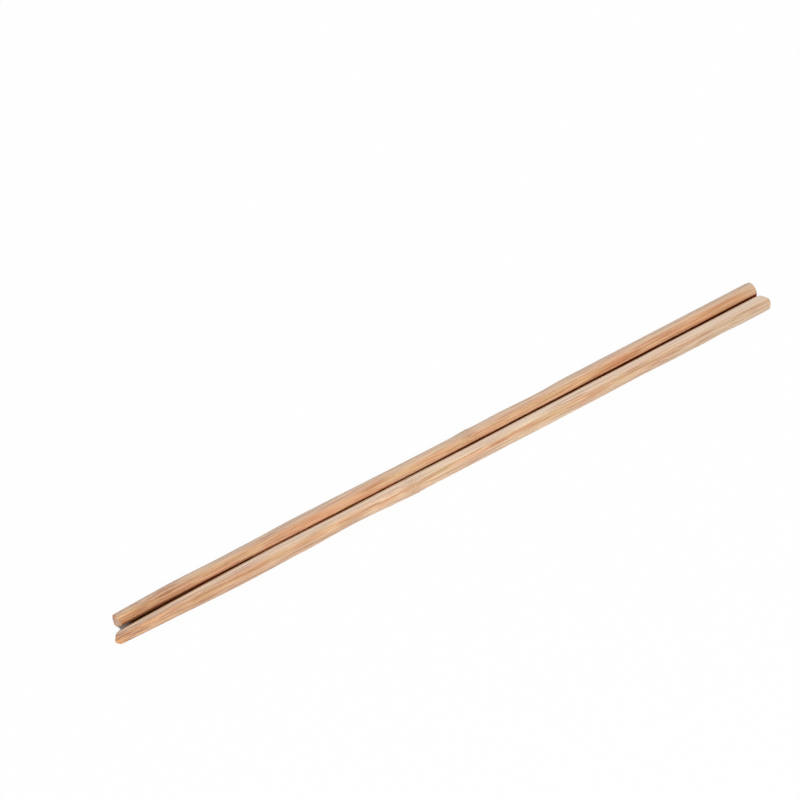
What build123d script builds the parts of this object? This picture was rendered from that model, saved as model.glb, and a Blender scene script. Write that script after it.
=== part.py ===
from build123d import *
import math
import os

# A loose pair of bamboo chopsticks, each one planed from a single strip of bamboo.
# Lengths are in millimetres. The tips point along -X, the heads along +X, and Z is up.
# The front stick lies on the -Y side and the back stick on the +Y side, both flat on Z = 0.

# Lengths of the sticks, and how the shorter back stick lies beside the front one
front_length = 230.7
back_tip_setback = 4.55
back_head_setback = 0.55

# How far each stick's inner side lies from the middle of the pair: open at the tips, closest a
# little way along, and open again at the heads
front_tip_inset = 1.12
front_near_inset = 0.55
front_head_inset = 0.54
back_tip_inset = 1.15
back_near_inset = 0.13
back_head_inset = 0.58
near_from_tip = 58.0

# The planed section at the tip, along the body and at the head. The back stick is the broader.
tip_thickness = 3.70
tip_bevel = 1.10
tip_arris_radius = 0.55
body_thickness = 4.70
body_bevel = 1.50
body_arris_radius = 0.85
head_thickness = 4.80
head_bevel = 1.52
head_arris_radius = 0.85
front_tip_width = 3.28
front_body_width = 4.84
front_head_width = 5.25
back_tip_width = 3.65
back_body_width = 5.20
back_head_width = 5.26

# The stick fills out over this length behind its tip. An easing of 1 would be a straight
# taper; a larger one meets the body more gently.
taper_length = 42.0
taper_easing = 1.4
taper_steps = 6

# The bamboo is uneven on its outer side. Each unevenness has its middle this far from the
# stick's own tip, a reach each way, and a swell; a slimming is a negative swell. The top takes
# only a share of each.
front_shoulder_from_tip = 46.0
front_shoulder_reach = 32.0
front_shoulder_swell = 0.24
front_waist_from_tip = 80.0
front_waist_reach = 17.0
front_waist_swell = -0.44
front_node_from_tip = 99.0
front_hollow_from_tip = 180.0
front_hollow_reach = 15.0
front_hollow_swell = -0.16
front_dip_from_tip = 212.0
front_dip_reach = 8.0
front_dip_swell = -0.18
back_neck_from_tip = 38.0
back_neck_reach = 22.0
back_neck_swell = -0.45
back_middle_from_tip = 105.0
back_middle_reach = 46.0
back_middle_swell = -0.27
back_node_from_tip = 119.0
back_waist_from_tip = 144.5
back_waist_reach = 14.0
back_waist_swell = -0.33
node_reach = 5.0
node_swell = 0.16
top_swell_share = 0.3

# Sections are taken at these shares of each reach, and never closer together than this. One
# more stands a short way before the head.
reach_shares = (-1, -0.5, 0, 0.5, 1)
least_section_spacing = 1.6
last_section_from_head = 6.0

# The underside is planed flat by this depth after the section is shaped
planing_depth = 0.04

# Slanting cuts on the ends, measured half way up the stick: length along the stick, width
# across it from one side, and how far the cut leans in under the stick, in degrees
front_tip_inner_length = 3.9
front_tip_inner_width = 3.85
front_tip_inner_lean = 15.0
front_tip_outer_length = 1.35
front_tip_outer_width = 1.7
front_tip_outer_lean = 40.0
front_head_inner_length = 2.0
front_head_inner_width = 4.6
front_head_outer_length = 0.70
front_head_outer_width = 0.9
back_tip_inner_length = 0.9
back_tip_inner_width = 1.5
back_tip_outer_length = 0.35
back_tip_outer_width = 1.2
back_head_outer_length = 0.75
back_head_outer_width = 1.1

# One cutter is large enough for every cut
cutter_size = 30.0


FRONT_SECTIONS = (
    (front_tip_width, tip_thickness, tip_bevel, tip_arris_radius),
    (front_body_width, body_thickness, body_bevel, body_arris_radius),
    (front_head_width, head_thickness, head_bevel, head_arris_radius),
)
BACK_SECTIONS = (
    (back_tip_width, tip_thickness, tip_bevel, tip_arris_radius),
    (back_body_width, body_thickness, body_bevel, body_arris_radius),
    (back_head_width, head_thickness, head_bevel, head_arris_radius),
)
FRONT_INSETS = (front_tip_inset, front_near_inset, front_head_inset)
BACK_INSETS = (back_tip_inset, back_near_inset, back_head_inset)
FRONT_UNEVENNESS = (
    (front_shoulder_from_tip, front_shoulder_reach, front_shoulder_swell),
    (front_waist_from_tip, front_waist_reach, front_waist_swell),
    (front_node_from_tip, node_reach, node_swell),
    (front_hollow_from_tip, front_hollow_reach, front_hollow_swell),
    (front_dip_from_tip, front_dip_reach, front_dip_swell),
)
BACK_UNEVENNESS = (
    (back_neck_from_tip, back_neck_reach, back_neck_swell),
    (back_middle_from_tip, back_middle_reach, back_middle_swell),
    (back_node_from_tip, node_reach, node_swell),
    (back_waist_from_tip, back_waist_reach, back_waist_swell),
)


def blend(first, second, share):
    """The section that lies a share of the way from the first section to the second."""
    return tuple(a + (b - a) * share for a, b in zip(first, second))


def inset_at(x, insets):
    """How far a stick's inner side lies from the middle of the pair at a place along X."""
    at_tip, at_near, at_head = insets
    place = x + front_length / 2
    if place < near_from_tip:
        return at_tip + (at_near - at_tip) * place / near_from_tip
    return at_near + (at_head - at_near) * (place - near_from_tip) / (front_length - near_from_tip)


def bell(share):
    """A smooth rise from 0 at a share of 1 either way to 1 in the middle."""
    if abs(share) >= 1:
        return 0
    return (1 + math.cos(math.pi * share)) / 2


def section_at(place, length, sections):
    """The even section of a stick at a place measured from its tip."""
    tip, body, head = sections
    if place < taper_length:
        return blend(tip, body, 1 - (1 - place / taper_length) ** taper_easing)
    return blend(body, head, (place - taper_length) / (length - taper_length))


def swell_at(place, unevenness):
    """How much the uneven bamboo adds to the even section at a place measured from the tip."""
    return sum(swell * bell((place - middle) / reach) for middle, reach, swell in unevenness)


def section_places(length, unevenness):
    """Where the sections of a stick are taken, measured from its tip."""
    wanted = [taper_length * step / taper_steps for step in range(taper_steps + 1)]
    for middle, reach, swell in unevenness:
        wanted += [middle + reach * share for share in reach_shares]
    places = [0]
    for place in sorted(wanted):
        if place > places[-1] + least_section_spacing:
            places.append(place)
    return places + [length - last_section_from_head, length]


def section_face(x, side, inset, section, swell):
    """One eight-sided section with soft corners, square to the stick, swollen outwards and up."""
    width, thickness, bevel, radius = section
    half = (width + swell) / 2
    top = thickness + swell * top_swell_share
    low = -planing_depth
    outline = Polyline(
        (bevel - half, low),
        (half - bevel, low),
        (half, low + bevel),
        (half, top - bevel),
        (half - bevel, top),
        (bevel - half, top),
        (-half, top - bevel),
        (-half, low + bevel),
        close=True,
    )
    face = make_face(outline)
    face = fillet(face.vertices(), radius)
    plane = Plane(origin=(x, side * (inset + half), 0), x_dir=(0, 1, 0), z_dir=(1, 0, 0))
    return plane * face


def planed_blank(tip_x, side, length, sections, insets, unevenness):
    """A whole stick with square ends, lofted through its sections and planed flat underneath."""
    faces = []
    for place in section_places(length, unevenness):
        x = tip_x + place
        section = section_at(place, length, sections)
        faces.append(section_face(x, side, inset_at(x, insets), section, swell_at(place, unevenness)))
    blank = loft(faces, ruled=True)
    below = Box(2 * length, cutter_size, cutter_size, align=(Align.CENTER, Align.CENTER, Align.MAX))
    return blank - Pos(tip_x + length / 2, 0, 0) * below


def end_cut(end_x, inward, edge_y, across, height, length, width, lean=0):
    """The waste beyond a slanting end cut, as one large block whose near face is the cut.

    Half way up the stick the cut runs from the stick's side at edge_y, length away from its
    end, to the end itself, width away from that side. A lean turns it in under the stick.
    """
    start = Vector(end_x + inward * length, edge_y, height / 2)
    finish = Vector(end_x, edge_y + across * width, height / 2)
    along = (finish - start).normalized()
    outward = Vector(0, 0, 1).cross(along)
    if outward.X * inward > 0:
        outward = -outward
    leaning = math.radians(lean)
    normal = outward * math.cos(leaning) - Vector(0, 0, 1) * math.sin(leaning)
    plane = Plane(origin=start, x_dir=along, z_dir=normal)
    block = Box(
        cutter_size,
        cutter_size,
        cutter_size,
        align=(Align.CENTER, Align.CENTER, Align.MIN),
    )
    return plane * block


def front_chopstick():
    """The longer stick, with a pointed tip and a blunt two-sided head."""
    tip_x = -front_length / 2
    head_x = front_length / 2
    stick = planed_blank(tip_x, -1, front_length, FRONT_SECTIONS, FRONT_INSETS, FRONT_UNEVENNESS)
    stick -= end_cut(
        tip_x,
        1,
        -front_tip_inset,
        -1,
        tip_thickness,
        front_tip_inner_length,
        front_tip_inner_width,
        front_tip_inner_lean,
    )
    stick -= end_cut(
        tip_x,
        1,
        -front_tip_inset - front_tip_width,
        1,
        tip_thickness,
        front_tip_outer_length,
        front_tip_outer_width,
        front_tip_outer_lean,
    )
    stick -= end_cut(
        head_x,
        -1,
        -front_head_inset,
        -1,
        head_thickness,
        front_head_inner_length,
        front_head_inner_width,
    )
    stick -= end_cut(
        head_x,
        -1,
        -front_head_inset - front_head_width,
        1,
        head_thickness,
        front_head_outer_length,
        front_head_outer_width,
    )
    return stick


def back_chopstick():
    """The shorter stick, sawn nearly square, with its end corners broken off."""
    tip_x = back_tip_setback - front_length / 2
    head_x = front_length / 2 - back_head_setback
    stick = planed_blank(tip_x, 1, head_x - tip_x, BACK_SECTIONS, BACK_INSETS, BACK_UNEVENNESS)
    stick -= end_cut(
        tip_x,
        1,
        back_tip_inset,
        1,
        tip_thickness,
        back_tip_inner_length,
        back_tip_inner_width,
    )
    stick -= end_cut(
        tip_x,
        1,
        back_tip_inset + back_tip_width,
        -1,
        tip_thickness,
        back_tip_outer_length,
        back_tip_outer_width,
    )
    stick -= end_cut(
        head_x,
        -1,
        back_head_inset + back_head_width,
        -1,
        head_thickness,
        back_head_outer_length,
        back_head_outer_width,
    )
    return stick


os.makedirs("parts", exist_ok=True)
export_step(front_chopstick(), "parts/front_chopstick.step")
export_step(back_chopstick(), "parts/back_chopstick.step")
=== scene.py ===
# %% [markdown]
# # A loose pair of bamboo chopsticks
# Each stick is one strip of bamboo, split from the culm, planed to a soft eight-sided section,
# tapered towards the tip and sawn off at both ends. Nothing is coated: what the eye sees is the
# planed fibre itself. We load the CAD model first, as a fixed frame that says where each stick
# lies, and build the finer sticks exactly over it.

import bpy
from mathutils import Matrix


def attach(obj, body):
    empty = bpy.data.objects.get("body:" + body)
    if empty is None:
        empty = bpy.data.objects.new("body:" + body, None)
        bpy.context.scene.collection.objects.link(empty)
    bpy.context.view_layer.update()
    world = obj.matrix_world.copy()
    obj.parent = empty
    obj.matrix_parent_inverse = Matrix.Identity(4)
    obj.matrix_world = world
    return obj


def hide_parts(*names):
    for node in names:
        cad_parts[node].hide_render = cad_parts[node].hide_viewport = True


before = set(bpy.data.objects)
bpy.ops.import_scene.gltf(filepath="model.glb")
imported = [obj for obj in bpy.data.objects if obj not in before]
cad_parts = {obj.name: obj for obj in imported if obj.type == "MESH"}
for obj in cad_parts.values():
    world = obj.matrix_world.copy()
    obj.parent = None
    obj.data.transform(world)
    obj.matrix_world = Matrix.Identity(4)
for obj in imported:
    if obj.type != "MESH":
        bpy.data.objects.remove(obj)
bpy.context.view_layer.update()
print("CAD nodes:", sorted(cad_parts))

# %% The other modules, and the step from millimetres to metres
import math

import bpy
import numpy as np
from mathutils import Vector, noise

MM = 0.001
print("Blender", bpy.app.version_string)

# %% [markdown]
# ## The camera
# A small thing photographed whole from a good distance has almost parallel edges, so the lens is
# long. We place the camera on a sphere round the pair by two angles and a distance, and turn it a
# little aside, which puts the pair off the middle of the picture. The picture is square, so the
# lens follows from how many sensor widths away the pair is.

# %% Place the camera
# Lengths in millimetres, and azimuths and elevations in degrees
CAMERA_AIM_HEIGHT = 2.3
CAMERA_DISTANCE = 903.2
CAMERA_PLACE = (-36.439, 47.0)
CAMERA_TURN = (-35.109, 45.981)
SENSOR_WIDTH = 36.0
LENS_LENGTH = 141.3
# Nearer than this the camera sees nothing
CAMERA_NEAR = 50.0


def direction(azimuth, elevation):
    """The unit vector towards an azimuth, counted from -Y towards +X, and an elevation."""
    a, e = math.radians(azimuth), math.radians(elevation)
    return Vector((math.sin(a) * math.cos(e), -math.cos(a) * math.cos(e), math.sin(e)))


def aim_at(thing, azimuth, elevation):
    """Turns a camera or a lamp to look from an azimuth and an elevation."""
    thing.rotation_mode = "QUATERNION"
    thing.rotation_quaternion = (-direction(azimuth, elevation)).to_track_quat("-Z", "Y")


camera_data = bpy.data.cameras.new("studio_camera")
camera_data.sensor_width = SENSOR_WIDTH
camera_data.lens = LENS_LENGTH
camera_data.clip_start = CAMERA_NEAR * MM
camera = bpy.data.objects.new("studio_camera", camera_data)
bpy.context.scene.collection.objects.link(camera)
aim = Vector((0, 0, CAMERA_AIM_HEIGHT * MM))
camera.location = aim + direction(*CAMERA_PLACE) * CAMERA_DISTANCE * MM
aim_at(camera, *CAMERA_TURN)
bpy.context.scene.camera = camera
print("camera at", [round(v, 4) for v in camera.location])

# %% [markdown]
# ## The planed section
# The planer leaves eight flats, and handling rounds the arrises between them. We could bevel a
# box, but a section written as eight corners with arcs lets the flats, the arrises and the taper
# change smoothly along the stick. Each column of the mesh is one place on that section: a share
# of an arc or a share of a flat. The sizes began as those of the CAD stick. A few widths and
# insets then moved by some tenths of a millimetre, to fit the outline and the gap more closely.

# %% Sizes along a stick, in millimetres
FRONT_LENGTH = 230.7
TIP_THICKNESS, HEAD_THICKNESS = 3.70, 4.80
# Thickness, bevel and arris radius
TIP = (TIP_THICKNESS, 1.10, 0.55)
BODY = (4.70, 1.50, 0.85)
HEAD = (HEAD_THICKNESS, 1.52, 0.85)
# Widths at the tip, behind the taper and at the head
FRONT_WIDTHS = (3.28, 4.97, 5.41)
BACK_WIDTHS = (3.65, 5.20, 5.10)
# How far the inner sides lie from the middle of the pair, at these places from the front tip
INSET_PLACES = (0.0, 56.0, 118.0, 170.0, FRONT_LENGTH)
FRONT_INSETS = (1.12, 0.35, 0.56, 0.41, 0.29)
BACK_INSETS = (1.15, 0.13, 0.26, 0.48, 0.74)
TAPER_LENGTH = 42.0
# 1 would be a straight taper; a larger one meets the body more gently
TAPER_EASING = 1.4
TOP_SWELL_SHARE = 0.3
PLANING_DEPTH = 0.04
gaps = [round(front + back, 2) for front, back in zip(FRONT_INSETS, BACK_INSETS)]
print("gap between the sticks, from the tips to the heads:", gaps)


# %% The section, the inset and the swell at any place
def section_at(place, stick):
    """Width, thickness, bevel and arris radius at places measured from a stick's tip."""
    tip, body, head = (
        np.array((width, *section))[:, None]
        for width, section in zip(stick["widths"], (TIP, BODY, HEAD))
    )
    filling = 1 - np.clip(1 - place / TAPER_LENGTH, 0, 1) ** TAPER_EASING
    growing = np.clip((place - TAPER_LENGTH) / (stick["length"] - TAPER_LENGTH), 0, 1)
    return tip + (body - tip) * filling + (head - body) * growing


def inset_at(x, insets):
    """How far a stick's inner side lies from the middle of the pair."""
    return np.interp(x + FRONT_LENGTH / 2, INSET_PLACES, insets)


def swell_at(place, unevenness):
    """How much the uneven bamboo swells or slims the stick."""
    total = np.zeros_like(place)
    for middle, reach, swell in unevenness:
        share = np.clip((place - middle) / reach, -1, 1)
        total += swell * (1 + np.cos(math.pi * share)) / 2
    return total


half_way = np.zeros(1)
print("inset of the front stick half way along:", inset_at(half_way, FRONT_INSETS).round(3))

# %% The eight corners and the columns between them
SLANT = math.sqrt(0.5)
# Each corner: its shares of the half width and of the bevel across, whether it is on the top,
# and its share of the bevel upwards. Each edge runs from its corner to the next one.
CORNERS = np.array(
    (
        (-1, 1, 0, 0),
        (1, -1, 0, 0),
        (1, 0, 0, 1),
        (1, 0, 1, -1),
        (1, -1, 1, 0),
        (-1, 1, 1, 0),
        (-1, 0, 1, -1),
        (-1, 0, 0, 1),
    )
)
EDGES = np.array(
    (
        (1, 0),
        (SLANT, SLANT),
        (0, 1),
        (-SLANT, SLANT),
        (-1, 0),
        (-SLANT, -SLANT),
        (0, -1),
        (SLANT, -SLANT),
    )
)
INWARD = np.stack((-EDGES[:, 1], EDGES[:, 0]), axis=1)
# The two arrises of the top flat, towards +Y and towards -Y
LEFT_ARRIS, RIGHT_ARRIS = 4, 5
ARC_COLUMNS = 6
FLAT_COLUMNS = 8

columns = []
for corner in range(len(CORNERS)):
    for step in range(ARC_COLUMNS):
        columns.append((corner, True, step / (ARC_COLUMNS - 1)))
    for step in range(FLAT_COLUMNS):
        columns.append((corner, False, (step + 1) / (FLAT_COLUMNS + 1)))
print("columns round a stick:", len(columns))

# %% [markdown]
# ## The sawn ends
# Each end is cut by one or two slanting saw cuts. A boolean cutter would leave a razor edge and
# one flat polygon. Instead each end is a surface over the section: for a place across and up, it
# says how far along the stick the saw passed. The columns stop there, turn over a small rubbed
# rim and run in to the middle, so the cut face has vertices of its own for the torn fibres.

# %% Where the saw passed
RIDGE_SOFTNESS = 0.22


def saw_cut(end_x, inward, edge_y, across, height, length, width, lean=0.0):
    """A slanting cut, as a point on it and its outward normal.

    Half way up the stick it runs from the side at edge_y, length away from the end, to the end
    itself, width away from that side. A lean in degrees turns it in under the stick.
    """
    start = Vector((end_x + inward * length, edge_y, height / 2))
    along = (Vector((end_x, edge_y + across * width, height / 2)) - start).normalized()
    outward = Vector((0, 0, 1)).cross(along)
    if outward.x * inward > 0:
        outward = -outward
    leaning = math.radians(lean)
    return start, outward * math.cos(leaning) - Vector((0, 0, math.sin(leaning)))


def end_surface(y, z, end_x, inward, cuts):
    """How far along X the sawn end lies at places across and up, with softened ridges."""
    depths = [np.zeros_like(y)]
    for point, normal in cuts:
        x = point.x - (normal.y * (y - point.y) + normal.z * (z - point.z)) / normal.x
        depths.append((x - end_x) * inward)
    stacked = np.stack(depths) / RIDGE_SOFTNESS
    highest = stacked.max(axis=0)
    soft = highest + np.log(np.exp(stacked - highest).sum(axis=0))
    return end_x + inward * soft * RIDGE_SOFTNESS


print("ridges between cuts are softened over", RIDGE_SOFTNESS, "mm")

# %% [markdown]
# ## Noise for hand-made unevenness
# Blender's own Perlin noise gives the same value for the same place each run, so nothing has to
# be seeded. Fibre relief is the same noise stretched: long along the stick and narrow across it.

# %% Sample stretched noise
def relief(x, y, z, scale, shift):
    """Perlin noise at each place, with the wavelengths along, across and up in millimetres."""
    places = np.stack((x / scale[0], y / scale[1], z / scale[2]), axis=-1).reshape(-1, 3)
    places += shift
    values = [noise.noise(Vector(place)) for place in places]
    return np.array(values).reshape(x.shape)


sample = np.array((0.3, 0.6))
print("relief at two places:", relief(sample, sample, sample, (1, 1, 1), 0.0).round(3))

# %% One column of a stick
# Arrises are worn more in some places than in others: waves of this length take or add this
# share of the radius
ARRIS_WEAR_LENGTH = 16.0
ARRIS_WEAR_SHARE = 0.30


def section_point(column, x, stick):
    """Places across and up of one column, and its outward direction, at places along X."""
    corner, on_arc, share = column
    place = x - stick["tip_x"]
    width, thickness, bevel, radius = section_at(place, stick)
    swell = swell_at(place, stick["unevenness"])
    half = (width + swell) / 2
    top = thickness + swell * TOP_SWELL_SHARE
    wear = [noise.noise(Vector((p / ARRIS_WEAR_LENGTH, corner, stick["shift"]))) for p in place]
    radius = radius * (1 + ARRIS_WEAR_SHARE * np.array(wear))

    def corner_at(index):
        across, across_bevel, on_top, up_bevel = CORNERS[index % len(CORNERS)]
        y = across * half + across_bevel * bevel
        z = on_top * top - (1 - on_top) * PLANING_DEPTH + up_bevel * bevel
        return y, z

    # The arc turns through 45 degrees, and starts this far back from its corner
    back = radius * math.tan(math.pi / 8)
    y, z = corner_at(corner)
    if on_arc:
        before, inward = EDGES[corner - 1], INWARD[corner - 1]
        turn = share * math.pi / 4
        out = before * math.sin(turn) - inward * math.cos(turn)
        y = y - back * before[0] + radius * (inward[0] + out[0])
        z = z - back * before[1] + radius * (inward[1] + out[1])
    else:
        edge, out = EDGES[corner], -INWARD[corner]
        next_y, next_z = corner_at(corner + 1)
        y = y + back * edge[0] + (next_y - y - 2 * back * edge[0]) * share
        z = z + back * edge[1] + (next_z - z - 2 * back * edge[1]) * share
    return y + stick["side"] * (inset_at(x, stick["insets"]) + half), z, out


print("an arris radius varies by", f"{ARRIS_WEAR_SHARE:.0%}")

# %% [markdown]
# ## The relief of a planed strip
# Bamboo is a bundle of hard fibres in soft pith. The planer cuts the pith a little lower, so long
# shallow ridges stand along the stick. A node is a ring where the fibres cross over: a low scar
# with a raised lip. Handling leaves small dents on the arrises. All of this is moved into the
# mesh itself, so that it catches the light from any side and is there in the exported shape. The
# real ridges are finer still, about a tenth of a millimetre, and are drawn coarser here so that
# they show.

# %% Depths of the relief, in millimetres
# Waves: their lengths along, across and up, and how high they stand
SLOW_WAVE = ((24.0, 3.0, 3.0), 0.040)
FIBRE_RIDGE = ((13.0, 0.50, 0.50), 0.022)
FINE_RIDGE = ((5.0, 0.28, 0.28), 0.010)
# A node's scar wanders along the stick with waves of this width across it
SCAR_WANDER = (1.0, 1.6, 1.6)
SCAR_DEPTH = 0.07
SCAR_WIDTH = 0.45
LIP_HEIGHT = 0.05
LIP_OFFSET = 0.9
DENT_SCALE = (2.2, 0.8, 0.8)
DENT_DEPTH = 0.14
# Noise below this level leaves no dent, so dents are few
DENT_LEVEL = 0.42
# The underside, which the stick rests on, stays plain: its columns point down at least this much
UNDERSIDE = -0.9
# Each pattern reads the noise at places of its own
WANDER_SHIFT, DENT_SHIFT = 7, 11


def planed_relief(x, y, z, column, out, stick):
    """How far the planed surface stands out from the plain section, at places on one column."""
    shift = stick["shift"]
    depth = np.zeros_like(x)
    if out[1] < UNDERSIDE:
        return depth
    for number, (scale, height) in enumerate((SLOW_WAVE, FIBRE_RIDGE, FINE_RIDGE)):
        depth += height * relief(x, y, z, scale, shift + number)
    off = x - stick["node_x"] - relief(x * 0, y, z, SCAR_WANDER, shift + WANDER_SHIFT)
    depth -= SCAR_DEPTH * np.exp(-((off / SCAR_WIDTH) ** 2))
    depth += LIP_HEIGHT * np.exp(-(((off - LIP_OFFSET) / SCAR_WIDTH) ** 2))
    on_arc = column[1]
    if on_arc:
        dents = relief(x, y, z, DENT_SCALE, shift + DENT_SHIFT)
        depth -= DENT_DEPTH * np.clip(dents - DENT_LEVEL, 0, 1)
    return depth


print("ridges, scar, lip and dents, in mm:", FIBRE_RIDGE[1], SCAR_DEPTH, LIP_HEIGHT, DENT_DEPTH)

# %% [markdown]
# ## Torn fibres on the sawn ends
# A saw tears bamboo rather than cutting it clean. The end face gets a rough noise, finer across
# the fibres than along them, and stands a little proud of the plain cut, because the torn fibres
# reach past it.

# %% The sawn face with its torn fibres
TORN_SCALE = (1.0, 0.42, 0.42)
TORN_HEIGHT = 0.09
TORN_PROUD = 0.27


def sawn_x(y, z, end, stick):
    """How far along X a sawn face lies at places across and up."""
    end_x, inward, cuts = stick[end]
    torn = relief(y * 0, y, z, TORN_SCALE, stick["shift"] + end_x)
    return end_surface(y, z, end_x, inward, cuts) + inward * (TORN_HEIGHT * torn - TORN_PROUD)


print("torn fibres reach", TORN_PROUD, "mm past the cut, give or take", TORN_HEIGHT)

# %% [markdown]
# ## The planed sides as rings of points
# All columns are cut into the same number of rows between the two sawn faces, so the side of a
# stick is one regular grid. Each point also carries a few marks for the finishes, worked out
# from which way its column faces and how deep in the section it lies: painted shade low on the
# sides in the gap between the sticks, a painted sheen on the top flats and along the outer side,
# and painted shade on the low half of the bevel. Marks on points move with the stick and don't
# depend on the view.

# %% The rings of the planed sides
ROWS = 520
RIM_RADIUS = 0.30
# A column meets the sawn face where both agree, found in a few tries from a first guess
END_TRIES = 5
FIRST_GUESS = (2.0, -1.0)
# Each mark starts at the first value and is full at the second: how much a column faces the
# gap or upwards, as a share of straight, and how far below the top it lies, in millimetres
WALL_FACING = (0.86, 1.00)
BEVEL_FACING = (0.60, 0.70)
TOP_FACING = (0.72, 0.98)
# The next two are for painted shade: low on the sides in the gap, and on the low bevel
GAP_SHADE_DEPTH = (1.70, 1.95)
LOW_DEPTH = (0.95, 1.45)


def rise(value, start, full):
    """0 up to the start, then evenly up to 1."""
    return np.clip((value - start) / (full - start), 0, 1)


def side_rings(stick):
    """The rings of points along a stick's planed sides with their marks, and the directions."""
    sides, outs = [], []
    for column in columns:
        ends = np.array((stick["tip"][0], stick["head"][0])) + FIRST_GUESS
        for _ in range(END_TRIES):
            y, z, out = section_point(column, ends, stick)
            ends[0] = sawn_x(y[:1], z[:1], "tip", stick)[0] + RIM_RADIUS
            ends[1] = sawn_x(y[1:], z[1:], "head", stick)[0] - RIM_RADIUS
        x = np.linspace(*ends, ROWS)
        y, z, out = section_point(column, x, stick)
        depth = planed_relief(x, y, z, column, out, stick)
        sides.append((x, y + out[0] * depth, z + out[1] * depth))
        outs.append(out)
    x, y, z = np.array(sides).transpose(1, 2, 0)
    outs = np.array(outs)
    facing_gap, facing_up = -stick["side"] * outs[:, 0], outs[:, 1]
    depth = z.max(axis=1, keepdims=True) - z
    out_y = np.abs(y)
    widest, nearest = out_y.max(axis=1, keepdims=True), out_y.min(axis=1, keepdims=True)
    across = (widest - out_y) / (widest - nearest)
    marks = {
        "rim_distance": np.minimum(x - x[0], x[-1] - x),
        # Painted shade: the lower part of each side that faces the other stick
        "gap_shade": rise(facing_gap, *WALL_FACING) * rise(depth, *GAP_SHADE_DEPTH),
        # Painted sheen: the top flats are drawn paler
        "top_sheen": rise(facing_up, *TOP_FACING) * np.interp(across, *stick["top_sheen_across"]),
        # Painted sheen along the outer side
        "outer_sheen": np.interp(across, *stick["outer_sheen_across"]),
        # Painted shade on the low half of the bevel beside the gap
        "low_bevel_shade": rise(facing_gap, *BEVEL_FACING) * rise(depth, *LOW_DEPTH),
    }
    return np.stack((x, y, z, *marks.values()), axis=-1), outs, tuple(marks)


print("rows along a stick:", ROWS)

# %% The rings of the sawn ends
RIM_RINGS = 4
CAP_RINGS = 9


def cap_rings(edge_ring, outs, end, stick):
    """The rings of one end, from the last planed ring over the rim and in to the middle."""
    inward = stick[end][1]
    # Beside its place and the distance from its rim, a point of an end has no mark
    other_marks = edge_ring.shape[1] - 4

    def ring_of(x, y, z, rim):
        return np.stack((x, y, z, rim, *np.zeros((other_marks, len(y)))), axis=-1)

    rings = []
    for ring in range(1, RIM_RINGS + 1):
        turn = math.pi / 2 * ring / RIM_RINGS
        y, z = (edge_ring[:, 1:3] - outs * RIM_RADIUS * (1 - math.cos(turn))).T
        x = sawn_x(y, z, end, stick) + inward * RIM_RADIUS * (1 - math.sin(turn))
        rings.append(ring_of(x, y, z, np.zeros_like(x)))
    edge = rings[-1][:, 1:3]
    middle = edge.mean(axis=0)
    for ring in range(1, CAP_RINGS + 1):
        share = ring / CAP_RINGS
        y, z = (edge + (middle - edge) * share).T
        rim = np.linalg.norm(middle - edge, axis=1) * share
        rings.append(ring_of(sawn_x(y, z, end, stick), y, z, rim))
    return rings


def stick_rings(stick):
    """Every ring from the middle of one end to the middle of the other, and the marks' names."""
    sides, outs, marks = side_rings(stick)
    tip_rings = cap_rings(sides[0], outs, "tip", stick)[::-1]
    rings = np.concatenate((tip_rings, sides, cap_rings(sides[-1], outs, "head", stick)))
    rings[:, :, 2] = np.maximum(rings[:, :, 2], 0)
    return rings, marks


print("rings on each end:", RIM_RINGS + CAP_RINGS)

# %% [markdown]
# ## From rings to a closed mesh
# Neighbouring rings are joined with quads, and the last ring of each end closes on one point, so
# the mesh has no hole and no stray face. The two arrises of the top flat are painted pale, partly
# as a painted highlight and partly as scuffs, most in their middle. The front stick's one beside
# the gap carries a painted highlight along its lower edge instead, so its mark is strongest there.

# %% Build a stick
# The painted highlight along the bright edge fades over this share of the flat below it
EDGE_FADE = 0.3


def arris_mark(stick, corner, on_arc, share):
    """How pale a column of a top arris is painted, partly as a highlight and partly as scuffs."""
    paled = stick["arris_highlight_and_wear"].get(corner, 0)
    if corner == stick["bright_edge"]:
        return paled * (share if on_arc else max(0, 1 - share / EDGE_FADE))
    return paled * math.sin(math.pi * share) if on_arc else 0.0


def stick_object(name, stick):
    """A closed mesh of a stick: material slot 0 is planed bamboo and slot 1 is sawn bamboo."""
    points, mark_names = stick_rings(stick)
    rings, around = points.shape[:2]
    grid = points[1:-1].reshape(-1, points.shape[2])
    grid_rings = rings - 2
    vertices = np.concatenate((grid, (points[0].mean(axis=0), points[-1].mean(axis=0))))
    tip_index, head_index = len(grid), len(grid) + 1
    faces = []
    for ring in range(grid_rings - 1):
        for step in range(around):
            a, b = ring * around + step, ring * around + (step + 1) % around
            faces.append((a, b, b + around, a + around))
    quads, last = len(faces), (grid_rings - 1) * around
    for step in range(around):
        after = (step + 1) % around
        faces.append((tip_index, after, step))
        faces.append((head_index, last + step, last + after))
    mesh = bpy.data.meshes.new(name)
    mesh.from_pydata((vertices[:, :3] * MM).tolist(), [], faces)
    mesh.validate()
    cap_faces = (CAP_RINGS - 1) * around
    slots = np.ones(len(faces), int)
    slots[cap_faces : quads - cap_faces] = 0
    mesh.polygons.foreach_set("material_index", slots)
    mesh.polygons.foreach_set("use_smooth", np.ones(len(faces), bool))
    marks = dict(zip(mark_names, vertices[:, 3:].T))
    scuffed = [arris_mark(stick, *column) for column in columns]
    marks["arris"] = np.append(np.tile(scuffed, grid_rings), (0, 0))
    for title, values in marks.items():
        attribute = mesh.attributes.new(title, "FLOAT", "POINT")
        attribute.data.foreach_set("value", values.astype(np.float32))
    made = bpy.data.objects.new(name, mesh)
    bpy.context.scene.collection.objects.link(made)
    print(name, "triangles:", 2 * quads + 2 * around)
    return made


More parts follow.
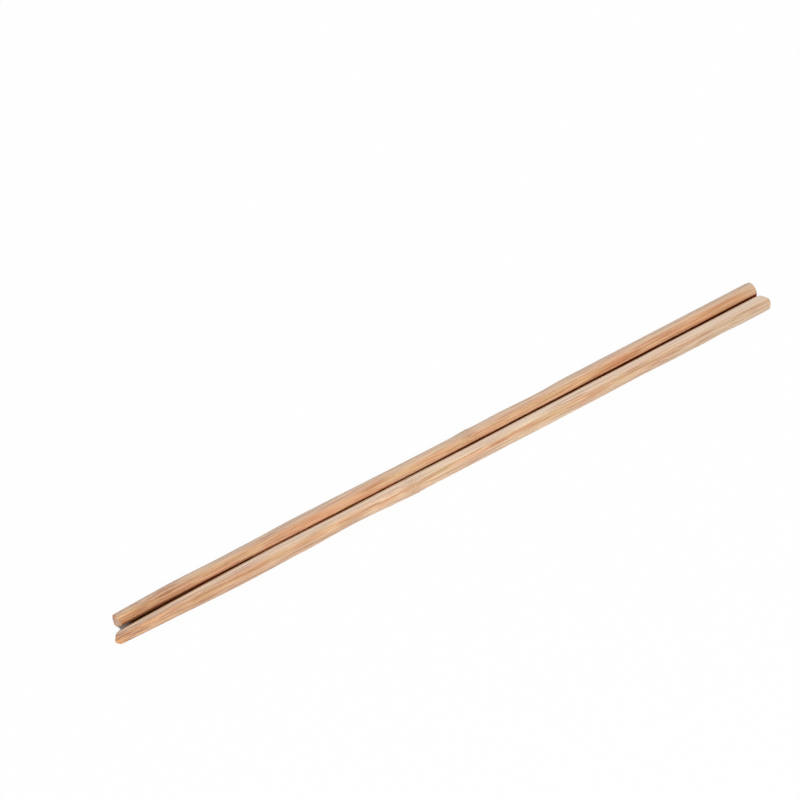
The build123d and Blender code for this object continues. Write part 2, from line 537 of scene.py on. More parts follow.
print("the bright edge fades over", f"{EDGE_FADE:.0%}", "of the flat")

# %% [markdown]
# ## The two sticks
# The front stick is the longer one, with a pointed tip and a blunt two-sided head. The back one
# is sawn nearly square, with its end corners broken off. Each has its own node, unevenness and
# tones, because no two strips of bamboo are alike.

# %% The front stick
FRONT_TIP_X, FRONT_HEAD_X = -FRONT_LENGTH / 2, FRONT_LENGTH / 2
FRONT_NODE = 99.0
# A node's reach each way and its swell
NODE = (5.0, 0.16)
# Each cut: its length along the stick, its width across it, and its lean where it has one
FRONT_TIP_INNER_CUT, FRONT_TIP_OUTER_CUT = (3.9, 3.85, 15.0), (1.25, 1.6, 40.0)
FRONT_HEAD_INNER_CUT, FRONT_HEAD_OUTER_CUT = (2.4, 4.6), (0.70, 0.9)

front = {
    # Its side of the pair in Y, where its tip is, and its sizes
    "side": -1,
    "tip_x": FRONT_TIP_X,
    "length": FRONT_LENGTH,
    "widths": FRONT_WIDTHS,
    "insets": FRONT_INSETS,
    # Each unevenness: its middle from the tip, its reach each way and its swell
    "unevenness": (
        (46.0, 32.0, 0.24),
        (80.0, 17.0, -0.44),
        (FRONT_NODE, *NODE),
        (180.0, 15.0, -0.16),
        (212.0, 8.0, -0.18),
    ),
    "node_x": FRONT_TIP_X + FRONT_NODE,
    # Places across from the outer side, as shares, and how strong the painted sheen on the top
    # and along the outer side is there
    "top_sheen_across": ((0.29, 0.52), (0, 1)),
    "outer_sheen_across": ((0.0, 0.06), (0.6, 0)),
    # How pale the two top arrises are painted, partly as a highlight and partly as scuffs, and
    # which one carries a painted highlight along its edge
    "arris_highlight_and_wear": {LEFT_ARRIS: 0.62, RIGHT_ARRIS: 0.25},
    "bright_edge": LEFT_ARRIS,
    # Where this strip reads the noise, so that no two strips are alike
    "shift": 0.0,
    # Tones: the pith, the fibres, and the pale top, a painted sheen, with how much of it shows
    "pith": "#F8D8B6",
    "tan": "#EABB8F",
    "pale": "#C8B29B",
    "top_sheen": 0.62,
    # How much browner the tip and the head are, and what share of that the top takes
    "tip_brown": 0.52,
    "head_brown": 0.05,
    "top_brown": 0.35,
    # The dry, pale head: where it starts and is full, from the head, and how much
    "head_pale": (75, 10, 0.48),
    # How much paler the top is painted at the point, as a painted highlight, how much of the rosy
    # and straw patches shows, and how strong the painted highlight and its dark line at the point
    # are
    "point_pale": 0.85,
    "rosy": 0.36,
    "straw": 0.48,
    "point_highlight_and_line": 0.5,
    "roughness": 0.28,
}
# Each end: where its plain saw cut is, which way is inward, and the slanting cuts
front_tip_y, front_head_y = -FRONT_INSETS[0], -FRONT_INSETS[-1]
tip_outer_y, head_outer_y = front_tip_y - FRONT_WIDTHS[0], front_head_y - FRONT_WIDTHS[-1]
front["tip"] = (
    FRONT_TIP_X,
    1,
    (
        saw_cut(FRONT_TIP_X, 1, front_tip_y, -1, TIP_THICKNESS, *FRONT_TIP_INNER_CUT),
        saw_cut(FRONT_TIP_X, 1, tip_outer_y, 1, TIP_THICKNESS, *FRONT_TIP_OUTER_CUT),
    ),
)
front["head"] = (
    FRONT_HEAD_X,
    -1,
    (
        saw_cut(FRONT_HEAD_X, -1, front_head_y, -1, HEAD_THICKNESS, *FRONT_HEAD_INNER_CUT),
        saw_cut(FRONT_HEAD_X, -1, head_outer_y, 1, HEAD_THICKNESS, *FRONT_HEAD_OUTER_CUT),
    ),
)
front_stick = stick_object("front_stick", front)

# %% The back stick, which has the same entries
BACK_TIP_SETBACK, BACK_HEAD_SETBACK = 4.55, 0.55
BACK_TIP_X, BACK_HEAD_X = FRONT_TIP_X + BACK_TIP_SETBACK, FRONT_HEAD_X - BACK_HEAD_SETBACK
BACK_NODE = 119.0
# Its sawn tip stands this much past its CAD place
BACK_TIP_PROUD = 0.15
BACK_TIP_INNER_CUT, BACK_TIP_OUTER_CUT = (0.9, 1.5), (0.35, 1.2)
BACK_HEAD_OUTER_CUT = (0.75, 1.1)

back = {
    "side": 1,
    "tip_x": BACK_TIP_X,
    "length": BACK_HEAD_X - BACK_TIP_X,
    "widths": BACK_WIDTHS,
    "insets": BACK_INSETS,
    "unevenness": (
        (38.0, 22.0, -0.45),
        (105.0, 46.0, -0.27),
        (BACK_NODE, *NODE),
        (144.5, 14.0, -0.33),
    ),
    "node_x": BACK_TIP_X + BACK_NODE,
    "top_sheen_across": ((0.53, 0.80), (1, 0)),
    "outer_sheen_across": ((0.32, 0.54), (0.95, 0)),
    "arris_highlight_and_wear": {LEFT_ARRIS: 0.20, RIGHT_ARRIS: 0.10},
    "bright_edge": None,
    "shift": 40.0,
    "pith": "#F2CBA4",
    "tan": "#E5AB7B",
    "pale": "#BBA48D",
    "top_sheen": 0.42,
    "tip_brown": 0.33,
    "head_brown": 0.26,
    "top_brown": 0.3,
    "head_pale": (8, 1, 0.45),
    "point_pale": 0.0,
    "rosy": 0.50,
    "straw": 0.42,
    "point_highlight_and_line": 0.0,
    "roughness": 0.42,
}
back_tip_y, back_head_y = BACK_INSETS[0], BACK_INSETS[-1]
tip_outer_y, head_outer_y = back_tip_y + BACK_WIDTHS[0], back_head_y + BACK_WIDTHS[-1]
back["tip"] = (
    BACK_TIP_X - BACK_TIP_PROUD,
    1,
    (
        saw_cut(BACK_TIP_X, 1, back_tip_y, 1, TIP_THICKNESS, *BACK_TIP_INNER_CUT),
        saw_cut(BACK_TIP_X, 1, tip_outer_y, -1, TIP_THICKNESS, *BACK_TIP_OUTER_CUT),
    ),
)
back["head"] = (
    BACK_HEAD_X,
    -1,
    (saw_cut(BACK_HEAD_X, -1, head_outer_y, -1, HEAD_THICKNESS, *BACK_HEAD_OUTER_CUT),),
)
back_stick = stick_object("back_stick", back)

# %% [markdown]
# ## Helpers for finishes
# Colours are picked as sRGB hex values and turned to linear light by one function. One function
# adds a node with its settings and links. A finish is then built up as a maker would stain wood:
# a ground colour, and thin layers over it. How much of a layer shows is a product of parts, such
# as a pattern, a zone of the stick and a plain strength.

# %% Colours, nodes and layers
def colour(hex_value):
    """An sRGB hex value as linear red, green, blue and full alpha."""
    shares = [int(hex_value[place : place + 2], 16) / 255 for place in (1, 3, 5)]
    linear = [c / 12.92 if c <= 0.04045 else ((c + 0.055) / 1.055) ** 2.4 for c in shares]
    return (*linear, 1)


def add(tree, kind, inputs, **settings):
    """A new node with its settings. An input takes a value, an output, or a node's first output."""
    node = tree.nodes.new("ShaderNode" + kind)
    for name, value in settings.items():
        setattr(node, name, value)
    for socket, value in inputs.items():
        if isinstance(value, bpy.types.Node):
            value = value.outputs[0]
        if isinstance(value, bpy.types.NodeSocket):
            tree.links.new(value, node.inputs[socket])
        else:
            node.inputs[socket].default_value = value
    return node


def share_of(tree, *parts):
    """How much of something shows: the product of its parts.

    A part is a number, an output or a node. It can also be a smooth change with the value of an
    output, as (output, start, end), from 0 to 1, or as (output, start, end, first, last).
    """
    product = None
    for part in parts:
        if isinstance(part, tuple):
            value, start, end, first, last = (*part, 0.0, 1.0)[:5]
            places = {"Value": value, "From Min": start, "From Max": end}
            levels = {"To Min": first, "To Max": last}
            part = add(tree, "MapRange", places | levels, interpolation_type="SMOOTHSTEP")
        if product is None:
            product = part
        else:
            product = add(tree, "Math", {0: product, 1: part}, operation="MULTIPLY")
    return product


# A Mix node has one set of sockets for each kind of value, and these are the ones for colours
MIX_SHARE, MIX_UNDER, MIX_OVER, MIX_RESULT = 0, 6, 7, 2


def layer(tree, under, hex_value, *parts):
    """A colour laid over the one under it, as strongly as the product of the parts."""
    share = share_of(tree, *parts)
    inputs = {MIX_SHARE: share, MIX_UNDER: under, MIX_OVER: colour(hex_value)}
    return add(tree, "Mix", inputs, data_type="RGBA").outputs[MIX_RESULT]


print("mid grey in linear light:", round(colour("#808080")[0], 4))

# %% [markdown]
# ## The grain inside the strip
# Bamboo is pale pith with darker fibre bundles that run the length of the stick, closer together
# towards the skin. We make the pattern solid, in millimetres of the strip itself: the same
# bundles are then streaks on the planed sides and dots on the sawn ends, as on the real thing. A
# bundle is a cell of a Voronoi texture, stretched along the stick. A little noise lets the
# bundles wander, and more of it disturbs them at the node. Real bundles lie 0.3 to 0.6 mm apart
# and their fibres are a hundredth of a millimetre wide. A pixel of the picture is about 0.3 mm,
# so both are drawn coarser, as wide as they need to show.

# %% Sizes of the patterns, in millimetres: length along the stick and width across it
DRIFT = (60.0, 5.0)
SWIRL = (1.8, 1.1)
BUNDLES = (48.0, 0.80)
FIBRES = (17.0, 0.40)
LINES = (22.0, 0.36)
SLOW_CHANGES = {"tone": (34.0, 1.4), "hue": (13.0, 1.1), "cloud": (9.0, 3.0)}
# How far the bundles drift across the stick, and how far the node throws them about
DRIFT_REACH = (0, 0.9, 0.9)
SWIRL_REACH = 0.60
# The node's zone is full this near to its middle and ends this far from it
NODE_ZONE = (0.2, 4.5)
# A bundle is dark up to the first distance from its middle, and gone at the second, in cells
BUNDLE_EDGE = (0.08, 0.36)
# The fine lines read the noise at a place of their own
LINES_SHIFT = 3
# The fibres' noise is rough, so thin ones lie between the thick ones; the others are plain
FIBRE_NOISE = {"Detail": 3.0, "Roughness": 0.62}
PLAIN_NOISE = {"Detail": 1.0}
print("bundle spacing and fibre width:", BUNDLES[1], FIBRES[1])


# %% The solid pattern
def stretched(tree, kind, place, size, shift, inputs=()):
    """A texture drawn out along the stick, with features of a length along it and a width."""
    length, width = size
    spread = {0: place, 1: (1 / length, 1 / width, 1 / width), 2: (shift, shift, shift)}
    moved = add(tree, "VectorMath", spread, operation="MULTIPLY_ADD")
    return add(tree, kind, {"Vector": moved, "Scale": 1.0} | dict(inputs))


def bamboo_grain(tree, stick):
    """The solid pattern and the marks of one strip, as a dictionary of outputs."""
    shift = stick["shift"]
    position = add(tree, "TexCoord", {}).outputs["Object"]
    place = add(tree, "VectorMath", {0: position, "Scale": 1 / MM}, operation="SCALE")
    along, aside, _ = add(tree, "SeparateXYZ", {0: place}).outputs
    from_node = add(tree, "Math", {0: along, 1: stick["node_x"]}, operation="SUBTRACT")
    from_node = add(tree, "Math", {0: from_node}, operation="ABSOLUTE")
    node_zone = share_of(tree, (from_node, *NODE_ZONE, 1.0, 0.0))
    drift = stretched(tree, "TexNoise", place, DRIFT, shift, PLAIN_NOISE).outputs["Color"]
    drifted = {0: drift, 1: DRIFT_REACH, 2: place}
    wander = add(tree, "VectorMath", drifted, operation="MULTIPLY_ADD")
    swirl = stretched(tree, "TexNoise", place, SWIRL, shift).outputs["Color"]
    thrown = {0: swirl, "Scale": share_of(tree, node_zone, SWIRL_REACH)}
    thrown = add(tree, "VectorMath", thrown, operation="SCALE")
    wander = add(tree, "VectorMath", {0: wander, 1: thrown}, operation="ADD")
    cells = stretched(tree, "TexVoronoi", wander, BUNDLES, shift).outputs
    grain = {
        "place": place,
        "along": along,
        "aside": aside,
        "node_zone": node_zone,
        "bundle": share_of(tree, (cells["Distance"], *BUNDLE_EDGE, 1.0, 0.0)),
        "bundle_shade": add(tree, "SeparateColor", {0: cells["Color"]}),
        "fibres": stretched(tree, "TexNoise", wander, FIBRES, shift, FIBRE_NOISE),
        "lines": stretched(tree, "TexNoise", wander, LINES, shift + LINES_SHIFT, PLAIN_NOISE),
    }
    for title, size in SLOW_CHANGES.items():
        grain[title] = stretched(tree, "TexNoise", place, size, shift + size[0])
    for title in ("rim_distance", "gap_shade", "top_sheen", "outer_sheen", "low_bevel_shade", "arris"):
        grain[title] = add(tree, "Attribute", {}, attribute_name=title).outputs["Fac"]
    return grain


print("slow changes:", ", ".join(SLOW_CHANGES))

# %% [markdown]
# ## Planed bamboo: the ground tones
# The strips are carbonised bamboo: steam has browned them, so the pith is a warm cream and the
# fibres are tan. The wide, slow changes come first: rosy and straw patches, the greyish pale top,
# which is a painted sheen, the browner tip and head, the greyish band along the outer side, which
# is a painted sheen too, and the dry pale head.

# %% Tones of the planed sides
ROSY, STRAW = "#E39E78", "#DDBF8C"
# The second colour is a painted sheen along the outer side
END_BROWN, OUTER_SHEEN_GREY, DRY_END = "#BE7C46", "#C6B7A8", "#DCC5AA"
# Zones along the stick, where each starts and ends
POINT_ZONE = (FRONT_TIP_X + 6, FRONT_TIP_X + 32)
TIP_ZONE = (FRONT_TIP_X + 18, FRONT_TIP_X + 98)
HEAD_ZONE = (FRONT_HEAD_X - 70, FRONT_HEAD_X - 15)
# Levels of the noise between which each tone comes in
PITH_LEVELS = (0.38, 0.62)
ROSY_LEVELS = (0.47, 0.62)
STRAW_LEVELS = (0.50, 0.36)
CLOUD_LEVELS = (0.42, 0.66)
# The ground mixes slow tone and fine fibres in these shares
TONE_SHARE, FIBRE_SHARE = 0.42, 0.58
# The pale top comes and goes with the tone this much, about this middle level
PALE_CHANGE, PALE_MIDDLE = 1.2, 0.6
CLOUD_BROWN = 0.16
OUTER_SHEEN_STRENGTH = (0.55, 0.0, 0.25)


def along_stick(tree, grain, everywhere, at_tip, at_point):
    """A strength that is the same everywhere, with more towards the tip and at its point."""
    nearer = {0: grain["near_tip"], 1: at_tip, 2: everywhere}
    nearer = add(tree, "Math", nearer, operation="MULTIPLY_ADD")
    nearest = {0: grain["near_point"], 1: at_point, 2: nearer}
    return add(tree, "Math", nearest, operation="MULTIPLY_ADD")


def ground_tones(tree, grain, stick):
    """The colour of the planed sides before any streak."""
    along = grain["along"]
    tone = share_of(tree, grain["tone"], TONE_SHARE)
    tone = {0: grain["fibres"], 1: FIBRE_SHARE, 2: tone}
    tone = add(tree, "Math", tone, operation="MULTIPLY_ADD")
    base = layer(tree, colour(stick["tan"]), stick["pith"], (tone, *PITH_LEVELS))
    base = layer(tree, base, ROSY, (grain["hue"], *ROSY_LEVELS), stick["rosy"])
    base = layer(tree, base, STRAW, (grain["hue"], *STRAW_LEVELS), stick["straw"])
    pale = {0: grain["tone"], 1: PALE_CHANGE, 2: stick["top_sheen"] - PALE_MIDDLE}
    pale = add(tree, "Math", pale, operation="MULTIPLY_ADD", use_clamp=True)
    pale = {0: grain["near_point"], 1: stick["point_pale"], 2: pale}
    pale = add(tree, "Math", pale, operation="MULTIPLY_ADD")
    # Painted sheen: the top flats are laid paler, and more so at the point
    base = layer(tree, base, stick["pale"], pale, grain["top_sheen"])
    brown = 0.0
    for part in (
        (along, *TIP_ZONE, stick["tip_brown"], 0.0),
        (along, *HEAD_ZONE, 0.0, stick["head_brown"]),
        (grain["cloud"], *CLOUD_LEVELS, 0.0, CLOUD_BROWN),
    ):
        brown = add(tree, "Math", {0: brown, 1: share_of(tree, part)}, operation="ADD")
    on_top = {0: grain["top_sheen"], 1: stick["top_brown"] - 1, 2: 1.0}
    on_top = add(tree, "Math", on_top, operation="MULTIPLY_ADD")
    base = layer(tree, base, END_BROWN, brown, on_top)
    outer = along_stick(tree, grain, *OUTER_SHEEN_STRENGTH)
    # Painted sheen along the outer side, stronger at the point
    base = layer(tree, base, OUTER_SHEEN_GREY, outer, grain["outer_sheen"])
    start, full, strength = stick["head_pale"]
    dry_zone = (along, FRONT_HEAD_X - start, FRONT_HEAD_X - full)
    return layer(tree, base, DRY_END, dry_zone, strength)


print("tip zone in mm:", TIP_ZONE, "point zone in mm:", POINT_ZONE)

# %% [markdown]
# ## Planed bamboo: the streaks
# Cut along their length, the bundles show as soft brown streaks and the fibres as thin dark and
# light lines. They are sharpest near the tip, where the taper was planed through them. There the
# cut fibres between the lines also catch a warm light.

# %% Streaks of the planed sides
BUNDLE_BROWN, BRIGHT, GLOW = "#8A4A22", "#F9D09E", "#E9AD70"
# Levels of the noise between which each kind of line comes in
FINE_LEVELS = (0.49, 0.37)
BRIGHT_LEVELS = (0.54, 0.64)
GLOW_LEVELS = (0.49, 0.41)
DARK_LEVELS = (0.52, 0.60)
# Strengths everywhere, with more towards the tip, and with more at its point
BUNDLE_STRENGTH = (0.40, 0.20, 0.25)
FINE_STRENGTH = (0.40, 0.12, 0.40)
BRIGHT_STRENGTH = (0.30, 0.0, 0.60)
DARK_STRENGTH = (0.18, 0.0, 0.44)
GLOW_STRENGTH = 0.48
# What the glow loses on the pale top
GLOW_TOP_LOSS = -0.7


def streaks(tree, grain, base):
    """The bundles, the fibres between them and the light on their cut edges."""
    fibres, lines = grain["fibres"], grain["lines"]
    strength = along_stick(tree, grain, *BUNDLE_STRENGTH)
    bundle = share_of(tree, grain["bundle"], strength, grain["bundle_shade"])
    fine = share_of(tree, (fibres, *FINE_LEVELS), along_stick(tree, grain, *FINE_STRENGTH))
    darker = add(tree, "Math", {0: bundle, 1: fine}, operation="MAXIMUM")
    base = layer(tree, base, BUNDLE_BROWN, darker)
    strength = along_stick(tree, grain, *BRIGHT_STRENGTH)
    base = layer(tree, base, BRIGHT, (fibres, *BRIGHT_LEVELS), strength)
    off_top = {0: grain["top_sheen"], 1: GLOW_TOP_LOSS, 2: 1.0}
    off_top = add(tree, "Math", off_top, operation="MULTIPLY_ADD")
    glow = (off_top, GLOW_STRENGTH, grain["near_point"])
    base = layer(tree, base, GLOW, (lines, *GLOW_LEVELS), *glow)
    strength = along_stick(tree, grain, *DARK_STRENGTH)
    return layer(tree, base, BUNDLE_BROWN, (lines, *DARK_LEVELS), strength)


print("strength of the bundles at the point:", round(sum(BUNDLE_STRENGTH), 2))

# %% [markdown]
# ## Planed bamboo: wear, painted highlights and painted shade
# The rest is what happened to the strip, and light painted into it. The point carries a painted
# highlight beside a dark line. The node leaves a brown scar, and the arrises are painted pale,
# partly as a highlight and partly as scuffs. The lower half of each side towards the other stick
# is painted shade, a burnt brown with little gloss, and the low half of the bevel above it takes
# a lighter painted shade. It gives the gap the reddish dark that shadow alone leaves too grey.

# %% Wear of the planed sides
POINT_HIGHLIGHT, POINT_DARK_LINE = "#F2AE6C", "#7E4A26"
SCAR, ARRIS_HIGHLIGHT_AND_SCUFF = "#9A6238", "#E4D1BE"
# The last two colours are painted shade, on the low bevel and low on the sides in the gap
LOW_BEVEL_SHADE, GAP_SHADE_BROWN = "#A0521E", "#762504"
# The painted highlight at the point: where it fades along the stick, and from the middle of the
# pair outwards where the dark line beside it rises, where the line falls again and where the
# painted highlight rises
POINT_MARK_ZONE = (FRONT_TIP_X + 5.5, FRONT_TIP_X + 1.5)
POINT_LINE_RISE = (3.70, 3.88)
POINT_LINE_FALL = (3.90, 4.06)
POINT_HIGHLIGHT_RISE = (4.02, 4.14)
SCAR_LEVELS = (0.45, 0.62)
SCAR_STRENGTH = 0.52
LOW_BEVEL_SHADE_STRENGTH = 0.19
# The painted shade on the sides facing the gap is this dark at the open tips and this dark where
# the gap is narrow
GAP_SHADE_ZONE = (FRONT_TIP_X + 8, FRONT_TIP_X + 50)
GAP_SHADE_STRENGTH = (0.48, 0.98)


def wear(tree, grain, stick, base):
    """The point's painted highlight, the node's scar, pale arrises and painted shade in the gap."""
    out_y = add(tree, "Math", {0: grain["aside"]}, operation="ABSOLUTE")
    near = share_of(tree, (grain["along"], *POINT_MARK_ZONE), stick["point_highlight_and_line"])
    # Painted highlight at the point, then a dark line beside it
    base = layer(tree, base, POINT_HIGHLIGHT, (out_y, *POINT_HIGHLIGHT_RISE), near)
    rising = share_of(tree, (out_y, *POINT_LINE_RISE))
    falling = share_of(tree, (out_y, *POINT_LINE_FALL))
    line = add(tree, "Math", {0: rising, 1: falling}, operation="SUBTRACT")
    base = layer(tree, base, POINT_DARK_LINE, line, near)
    scar = (grain["fibres"], *SCAR_LEVELS)
    base = layer(tree, base, SCAR, scar, grain["node_zone"], SCAR_STRENGTH)
    # Painted highlight along the top arrises, partly scuffs
    base = layer(tree, base, ARRIS_HIGHLIGHT_AND_SCUFF, grain["arris"])
    # Painted shade on the low half of the bevel beside the gap
    base = layer(tree, base, LOW_BEVEL_SHADE, grain["low_bevel_shade"], LOW_BEVEL_SHADE_STRENGTH)
    # Painted shade low on the sides that face the gap
    shade_strength = (grain["along"], *GAP_SHADE_ZONE, *GAP_SHADE_STRENGTH)
    return layer(tree, base, GAP_SHADE_BROWN, shade_strength, grain["gap_shade"])


# Prints how dark the painted shade in the gap is, at the tips and where the gap is narrow
print("painted gap shade, at the tips and in the gap:", *GAP_SHADE_STRENGTH)

# %% [markdown]
# ## Planed bamboo: the surface
# The sides are raw bamboo from a planer, with no varnish: a satin surface whose gloss comes from
# the cut fibres, so its roughness follows them. Raw bamboo is a dielectric with an IOR near 1.5.
# The relief that is finer than the mesh is left to a bump of a few hundredths of a millimetre.

# %% The planed sides
BAMBOO_IOR = 1.5
FIBRE_ROUGHNESS = 0.16
GAP_SHADE_ROUGHNESS = 0.35
# The specular level is the usual one, and lower where the gap shade is painted
PLAIN_GLOSS, GAP_SHADE_GLOSS_LOSS = 0.5, -0.4
BUNDLE_SINK = -0.5
PLANED_BUMP = {"Strength": 0.6, "Distance": 0.04 * MM}


def empty_material(name):
    """A new material without nodes, and its node tree."""
    material = bpy.data.materials.new(name)
    material.use_nodes = True
    material.node_tree.nodes.clear()
    return material, material.node_tree


def planed_bamboo(name, stick):
    """Raw bamboo as the planer leaves it: satin, streaked along the stick."""
    material, tree = empty_material(name)
    grain = bamboo_grain(tree, stick)
    grain["near_tip"] = share_of(tree, (grain["along"], *TIP_ZONE, 1.0, 0.0))
    grain["near_point"] = share_of(tree, (grain["along"], *POINT_ZONE, 1.0, 0.0))
    base = ground_tones(tree, grain, stick)
    base = wear(tree, grain, stick, streaks(tree, grain, base))
    rough = {0: grain["fibres"], 1: FIBRE_ROUGHNESS, 2: stick["roughness"]}
    rough = add(tree, "Math", rough, operation="MULTIPLY_ADD")
    # Rougher and less glossy where the gap shade is painted
    rough = {0: grain["gap_shade"], 1: GAP_SHADE_ROUGHNESS, 2: rough}
    gloss = {0: grain["gap_shade"], 1: GAP_SHADE_GLOSS_LOSS, 2: PLAIN_GLOSS}
    height = {0: grain["bundle"], 1: BUNDLE_SINK, 2: grain["fibres"]}
    rough, gloss, height = (
        add(tree, "Math", inputs, operation="MULTIPLY_ADD") for inputs in (rough, gloss, height)
    )
    surface = {
        "Base Color": base,
        "Roughness": rough,
        "IOR": BAMBOO_IOR,
        "Specular IOR Level": gloss,
        "Normal": add(tree, "Bump", {"Height": height} | PLANED_BUMP),
    }
    add(tree, "OutputMaterial", {0: add(tree, "BsdfPrincipled", surface)})
    print(name, "nodes:", len(tree.nodes))
    return material


front_stick.data.materials.append(planed_bamboo("planed_front_bamboo", front))
back_stick.data.materials.append(planed_bamboo("planed_back_bamboo", back))

# %% [markdown]
# ## Sawn bamboo
# The saw tears across the bundles, so the ends are rougher than the sides and quite matt, and the
# bundles show as dark dots in the paler pith. A slightly darker rim is left by handling.

# %% The sawn ends
SAWN_DARK, SAWN_PALE = "#CE9F82", "#E9CBB3"
DOT_BROWN, RIM_BROWN = "#83522C", "#8A5932"
TORN_NOISE = {"Scale": 5.0, "Detail": 4.0}
SAWN_LEVELS = (0.40, 0.60)
SAWN_FIBRE_SHARE, SAWN_TORN_SHARE = 0.5, 0.5
DOT_STRENGTH, RIM_STRENGTH = 0.50, 0.06
RIM_WIDTH = 0.35
SAWN_ROUGHNESS = 0.78
SAWN_BUMP = {"Strength": 0.8, "Distance": 0.08 * MM}


def sawn_bamboo(name, stick):
    """End grain as the saw leaves it: rough, with the fibre bundles as dots."""
    material, tree = empty_material(name)
    grain = bamboo_grain(tree, stick)
    torn = add(tree, "TexNoise", {"Vector": grain["place"]} | TORN_NOISE)
    torn_share = share_of(tree, torn, SAWN_TORN_SHARE)
    tone = {0: grain["fibres"], 1: SAWN_FIBRE_SHARE, 2: torn_share}
    tone = add(tree, "Math", tone, operation="MULTIPLY_ADD")
    base = layer(tree, colour(SAWN_DARK), SAWN_PALE, (tone, *SAWN_LEVELS))
    base = layer(tree, base, DOT_BROWN, grain["bundle"], DOT_STRENGTH)
    rim = (grain["rim_distance"], 0.0, RIM_WIDTH, 1.0, 0.0)
    base = layer(tree, base, RIM_BROWN, rim, RIM_STRENGTH)
    height = {0: grain["bundle"], 1: BUNDLE_SINK, 2: torn}
    height = add(tree, "Math", height, operation="MULTIPLY_ADD")
    surface = {
        "Base Color": base,
        "Roughness": SAWN_ROUGHNESS,
        "IOR": BAMBOO_IOR,
        "Normal": add(tree, "Bump", {"Height": height} | SAWN_BUMP),
    }
    add(tree, "OutputMaterial", {0: add(tree, "BsdfPrincipled", surface)})
    print(name, "nodes:", len(tree.nodes))
    return material


front_stick.data.materials.append(sawn_bamboo("sawn_front_bamboo", front))
back_stick.data.materials.append(sawn_bamboo("sawn_back_bamboo", back))

# %% Put the pair in the frame
for piece, node, slot in (
    (front_stick, "front_chopstick", "front_bamboo"),
    (back_stick, "back_chopstick", "back_bamboo"),
):
    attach(piece, "root")
    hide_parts(node)
    print(piece.name, "stands for", node)

# %% [markdown]
# ## The studio
# The pair lies on white paper. One large soft light stands behind the pair just where its top
# flats mirror it towards the camera, so that they look a little paler than the bevels. A second
# one in front is high enough to light the front bevels down to their arrises, and too low to
# reach into the gap between the sticks. The paper lights the undersides. To the camera it is
# mostly drawn as plain white, by Light Path, so the background is white without more light on
# the bamboo. Only under the gap is all of its shade kept. There the paper is also painted a dark
# brown: painted shade, with the brown that bamboo on both sides would throw on it painted in too.
# It fades out past the tips and the heads.

# %% The paper
FLOOR_SIZE = 6.0
FLOOR_DROP = 0.02 * MM
# How white the camera sees the paper; the rest of it is the lit paper with its shadow
CAMERA_WHITE = 0.97
# The second colour is painted shade on the paper under the gap, with the bamboo's brown in it
PAPER, GAP_PAINTED_SHADE = "#F7F7F7", "#7C6244"
# Where the paper counts as under the gap: to these distances from the middle of the pair, and
# along it between the tips, first mostly and then wholly, and the heads
GAP_SIDES = (2.6 * MM, 3.4 * MM)
GAP_TIP_MOUTH = (-110.9 * MM, -110.2 * MM)
GAP_TIP_DEPTH = (-110.2 * MM, -106.0 * MM)
GAP_HEAD_MOUTH = (114.2 * MM, 112.8 * MM)
MOUTH_SHARE, DEPTH_SHARE = 0.86, 0.14

half_floor = FLOOR_SIZE / 2
floor_corners = [
    (x * half_floor, y * half_floor, -FLOOR_DROP) for x, y in ((-1, -1), (1, -1), (1, 1), (-1, 1))
]
floor_mesh = bpy.data.meshes.new("paper_floor")
floor_mesh.from_pydata(floor_corners, [], [(0, 1, 2, 3)])
floor = bpy.data.objects.new("paper_floor", floor_mesh)
bpy.context.scene.collection.objects.link(floor)


def seen_directly(tree):
    """1 for rays from the camera and for mirrored and refracted rays, or else 0."""
    path = add(tree, "LightPath", {}).outputs
    seen = {0: path["Is Camera Ray"], 1: path["Is Glossy Ray"]}
    seen = add(tree, "Math", seen, operation="MAXIMUM")
    seen = {0: seen, 1: path["Is Transmission Ray"]}
    return add(tree, "Math", seen, operation="MAXIMUM")


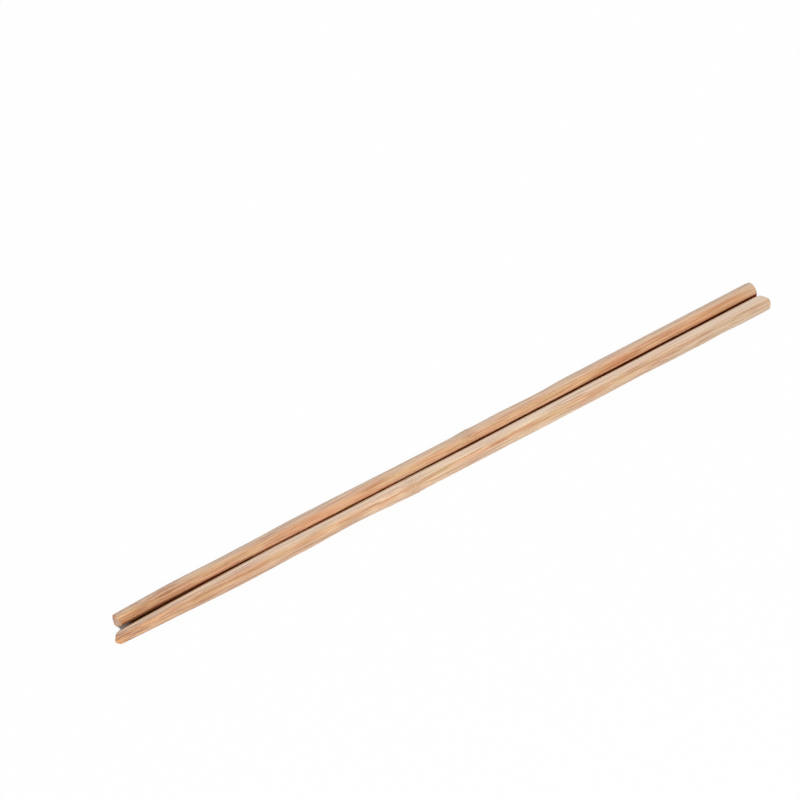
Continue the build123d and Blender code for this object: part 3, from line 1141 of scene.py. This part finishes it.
def white_paper(name):
    """Matt white paper, seen as plain white but for its shade, and painted shade, under the gap."""
    material, tree = empty_material(name)
    position = add(tree, "TexCoord", {}).outputs["Object"]
    along, aside, _ = add(tree, "SeparateXYZ", {0: position}).outputs
    out_y = add(tree, "Math", {0: aside}, operation="ABSOLUTE")
    past_tip = share_of(tree, (along, *GAP_TIP_MOUTH), MOUTH_SHARE)
    past_tip = {0: share_of(tree, (along, *GAP_TIP_DEPTH)), 1: DEPTH_SHARE, 2: past_tip}
    past_tip = add(tree, "Math", past_tip, operation="MULTIPLY_ADD")
    past_head = (along, *GAP_HEAD_MOUTH)
    in_gap = share_of(tree, past_tip, past_head, (out_y, *GAP_SIDES, 1.0, 0.0))
    is_open = add(tree, "Math", {0: 1.0, 1: in_gap}, operation="SUBTRACT")
    matt = add(tree, "BsdfDiffuse", {"Color": layer(tree, colour(GAP_PAINTED_SHADE), PAPER, is_open)})
    white = add(tree, "Emission", {"Color": (1, 1, 1, 1), "Strength": 1.0})
    share = share_of(tree, seen_directly(tree), CAMERA_WHITE, is_open)
    add(tree, "OutputMaterial", {0: add(tree, "MixShader", {0: share, 1: matt, 2: white})})
    return material


floor_mesh.materials.append(white_paper("white_paper"))
print("the camera sees this share of the paper as plain white:", CAMERA_WHITE)

# %% The world and the lamps
SKY_STRENGTH = 0.22
# Each lamp: azimuth, elevation, distance in metres, size in metres, share of daylight level
BACK_SOFTBOX = (146, 48, 1.1, (0.8, 0.6), 0.47)
FRONT_SOFTBOX = (-24, 36, 1.1, (0.9, 0.13), 0.67)

world = bpy.data.worlds.new("white_studio")
bpy.context.scene.world = world
world.use_nodes = True
sky = world.node_tree
sky.nodes.clear()
strength = {"Value": seen_directly(sky), "To Min": SKY_STRENGTH, "To Max": 1.0}
dome = {"Color": (1, 1, 1, 1), "Strength": add(sky, "MapRange", strength)}
add(sky, "OutputWorld", {0: add(sky, "Background", dome)})


def softbox(name, azimuth, elevation, distance, size, share):
    """A rectangular lamp aimed at the pair that adds a share of plain daylight level."""
    lamp_data = bpy.data.lights.new(name, "AREA")
    lamp_data.shape = "RECTANGLE"
    lamp_data.size, lamp_data.size_y = size
    lamp_data.energy = share * math.pi**2 * distance**2
    lamp = bpy.data.objects.new(name, lamp_data)
    bpy.context.scene.collection.objects.link(lamp)
    lamp.location = direction(azimuth, elevation) * distance
    aim_at(lamp, azimuth, elevation)
    print(name, "watts:", round(lamp_data.energy, 2))


softbox("back_softbox", *BACK_SOFTBOX)
softbox("front_softbox", *FRONT_SOFTBOX)

bpy.context.scene.view_settings.view_transform = "Standard"
